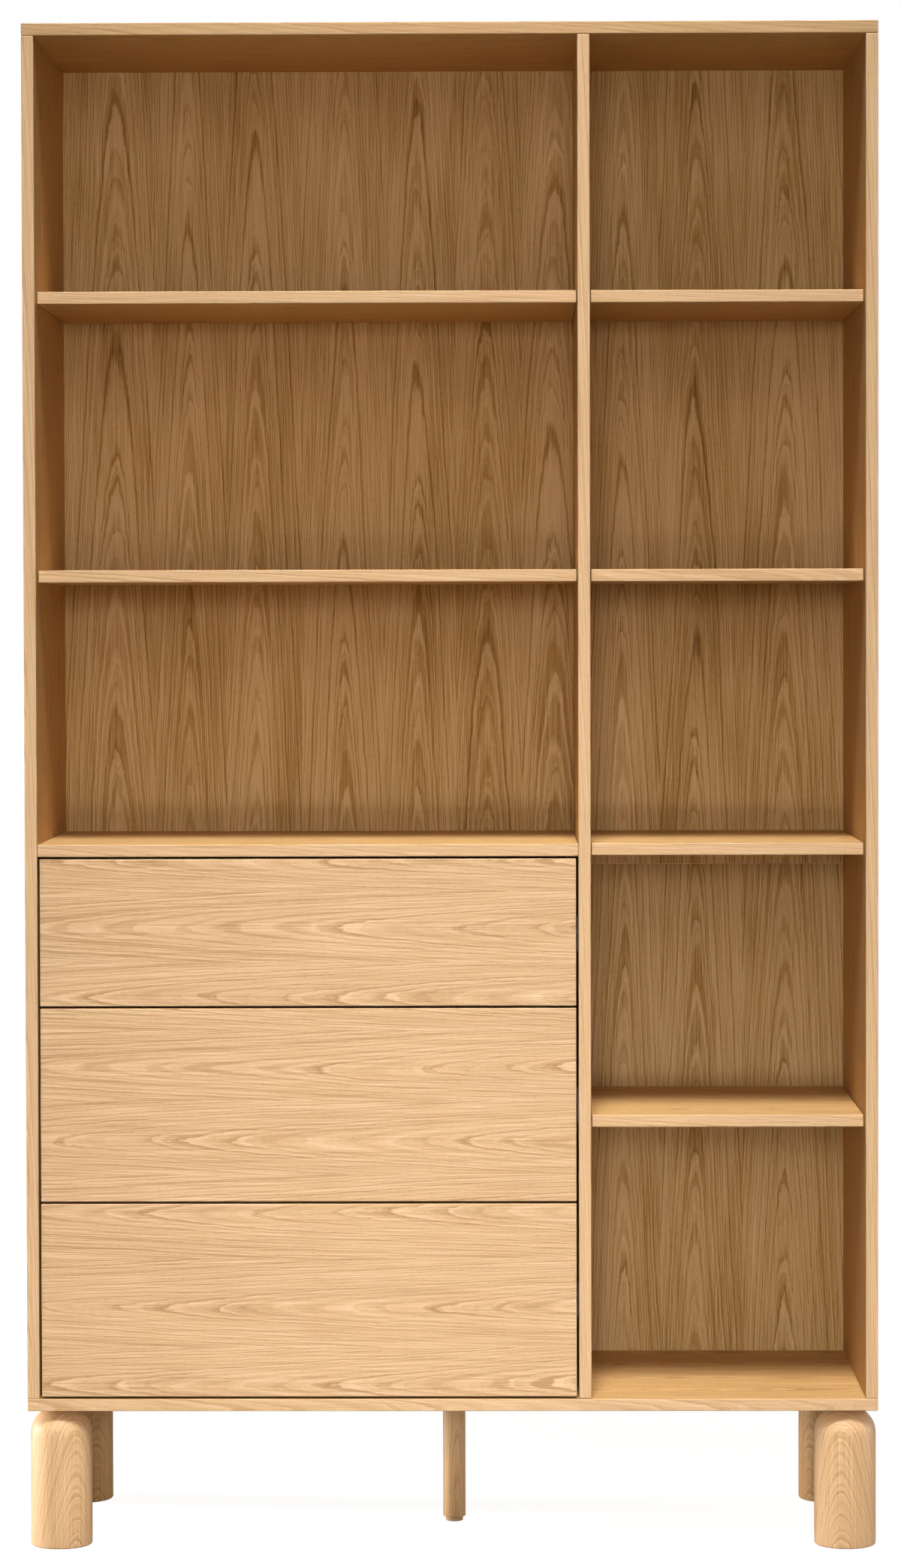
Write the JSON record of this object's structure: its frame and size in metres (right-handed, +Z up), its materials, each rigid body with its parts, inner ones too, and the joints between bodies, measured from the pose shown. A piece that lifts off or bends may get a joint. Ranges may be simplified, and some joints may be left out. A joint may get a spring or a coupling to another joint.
{
  "type": "bookcase with bottom drawers",
  "caption": "Tall oak-veneered bookcase with a wide and a narrow bay of open shelves, inset handle-less drawers at the bottom of the wide bay, and thick round legs.",
  "frame": {"origin": "on the floor, under the middle of the case", "axes": "+Z up, +X to the right as seen from the front, -Y out of the open front, +Y towards the wall"},
  "size_m": [1.1, 0.38, 1.97],
  "materials": {
    "oak_veneer": "clear matt lacquered oak veneer, light natural, on board with matching edges",
    "back_veneer": "clear matt lacquered oak veneer on a thin sheet",
    "solid_oak": "turned solid oak, clear satin lacquer",
    "drawer_ply": "sanded and lacquered birch plywood",
    "drawer_base": "thin lacquered fibreboard",
    "zinc_steel": "zinc-plated sheet steel and bolts",
    "foot_plastic": "matt tan plastic"
  },
  "bodies": {
    "case": {"top_board": "oak_veneer", "bottom_board": "oak_veneer", "left_side_board": "oak_veneer", "right_side_board": "oak_veneer", "divider_board": "oak_veneer", "drawer_case_top": "oak_veneer", "lower_left_shelf": "oak_veneer", "upper_left_shelf": "oak_veneer", "right_shelf_1": "oak_veneer", "right_shelf_2": "oak_veneer", "right_shelf_3": "oak_veneer", "right_shelf_4": "oak_veneer", "lower_back_sheet": "back_veneer", "upper_back_sheet": "back_veneer", "front_left_leg": "solid_oak", "front_right_leg": "solid_oak", "rear_left_leg": "solid_oak", "rear_right_leg": "solid_oak", "centre_leg": "solid_oak", "front_left_leg_bolt": "zinc_steel", "front_right_leg_bolt": "zinc_steel", "rear_left_leg_bolt": "zinc_steel", "rear_right_leg_bolt": "zinc_steel", "centre_leg_bolt": "zinc_steel", "lower_drawer_left_runner_case_member": "zinc_steel", "lower_drawer_right_runner_case_member": "zinc_steel", "middle_drawer_left_runner_case_member": "zinc_steel", "middle_drawer_right_runner_case_member": "zinc_steel", "upper_drawer_left_runner_case_member": "zinc_steel", "upper_drawer_right_runner_case_member": "zinc_steel"},
    "lower_drawer": {"lower_drawer_front": "oak_veneer", "lower_drawer_left_side": "drawer_ply", "lower_drawer_right_side": "drawer_ply", "lower_drawer_back": "drawer_ply", "lower_drawer_base": "drawer_base", "lower_drawer_left_runner_drawer_member": "zinc_steel", "lower_drawer_right_runner_drawer_member": "zinc_steel"},
    "lower_drawer_left_runner_middle": {"lower_drawer_left_runner_middle_member": "zinc_steel"},
    "lower_drawer_right_runner_middle": {"lower_drawer_right_runner_middle_member": "zinc_steel"},
    "middle_drawer": {"middle_drawer_front": "oak_veneer", "middle_drawer_left_side": "drawer_ply", "middle_drawer_right_side": "drawer_ply", "middle_drawer_back": "drawer_ply", "middle_drawer_base": "drawer_base", "middle_drawer_left_runner_drawer_member": "zinc_steel", "middle_drawer_right_runner_drawer_member": "zinc_steel"},
    "middle_drawer_left_runner_middle": {"middle_drawer_left_runner_middle_member": "zinc_steel"},
    "middle_drawer_right_runner_middle": {"middle_drawer_right_runner_middle_member": "zinc_steel"},
    "upper_drawer": {"upper_drawer_front": "oak_veneer", "upper_drawer_left_side": "drawer_ply", "upper_drawer_right_side": "drawer_ply", "upper_drawer_back": "drawer_ply", "upper_drawer_base": "drawer_base", "upper_drawer_left_runner_drawer_member": "zinc_steel", "upper_drawer_right_runner_drawer_member": "zinc_steel"},
    "upper_drawer_left_runner_middle": {"upper_drawer_left_runner_middle_member": "zinc_steel"},
    "upper_drawer_right_runner_middle": {"upper_drawer_right_runner_middle_member": "zinc_steel"},
    "levelling_foot": {"levelling_stem": "zinc_steel", "levelling_foot": "foot_plastic"}
  },
  "joints": [
    {"name": "lower_drawer_slide", "type": "slide", "parent": "case", "child": "lower_drawer", "axis": [0, -1, 0], "range_m": [-0.003, 0.34]},
    {"name": "lower_drawer_left_runner_middle_slide", "type": "slide", "parent": "case", "child": "lower_drawer_left_runner_middle", "axis": [0, -1, 0], "range_m": [-0.0015, 0.17]},
    {"name": "lower_drawer_right_runner_middle_slide", "type": "slide", "parent": "case", "child": "lower_drawer_right_runner_middle", "axis": [0, -1, 0], "range_m": [-0.0015, 0.17]},
    {"name": "middle_drawer_slide", "type": "slide", "parent": "case", "child": "middle_drawer", "axis": [0, -1, 0], "range_m": [-0.003, 0.34]},
    {"name": "middle_drawer_left_runner_middle_slide", "type": "slide", "parent": "case", "child": "middle_drawer_left_runner_middle", "axis": [0, -1, 0], "range_m": [-0.0015, 0.17]},
    {"name": "middle_drawer_right_runner_middle_slide", "type": "slide", "parent": "case", "child": "middle_drawer_right_runner_middle", "axis": [0, -1, 0], "range_m": [-0.0015, 0.17]},
    {"name": "upper_drawer_slide", "type": "slide", "parent": "case", "child": "upper_drawer", "axis": [0, -1, 0], "range_m": [-0.003, 0.34]},
    {"name": "upper_drawer_left_runner_middle_slide", "type": "slide", "parent": "case", "child": "upper_drawer_left_runner_middle", "axis": [0, -1, 0], "range_m": [-0.0015, 0.17]},
    {"name": "upper_drawer_right_runner_middle_slide", "type": "slide", "parent": "case", "child": "upper_drawer_right_runner_middle", "axis": [0, -1, 0], "range_m": [-0.0015, 0.17]},
    {"name": "levelling_foot_height", "type": "slide", "parent": "case", "child": "levelling_foot", "axis": [0, 0, -1], "range_m": [-0.0005, 0.012]}
  ],
  "couplings": [
    {"joint": "lower_drawer_left_runner_middle_slide", "follows": "lower_drawer_slide", "ratio": 0.5},
    {"joint": "lower_drawer_right_runner_middle_slide", "follows": "lower_drawer_slide", "ratio": 0.5},
    {"joint": "middle_drawer_left_runner_middle_slide", "follows": "middle_drawer_slide", "ratio": 0.5},
    {"joint": "middle_drawer_right_runner_middle_slide", "follows": "middle_drawer_slide", "ratio": 0.5},
    {"joint": "upper_drawer_left_runner_middle_slide", "follows": "upper_drawer_slide", "ratio": 0.5},
    {"joint": "upper_drawer_right_runner_middle_slide", "follows": "upper_drawer_slide", "ratio": 0.5}
  ]
}
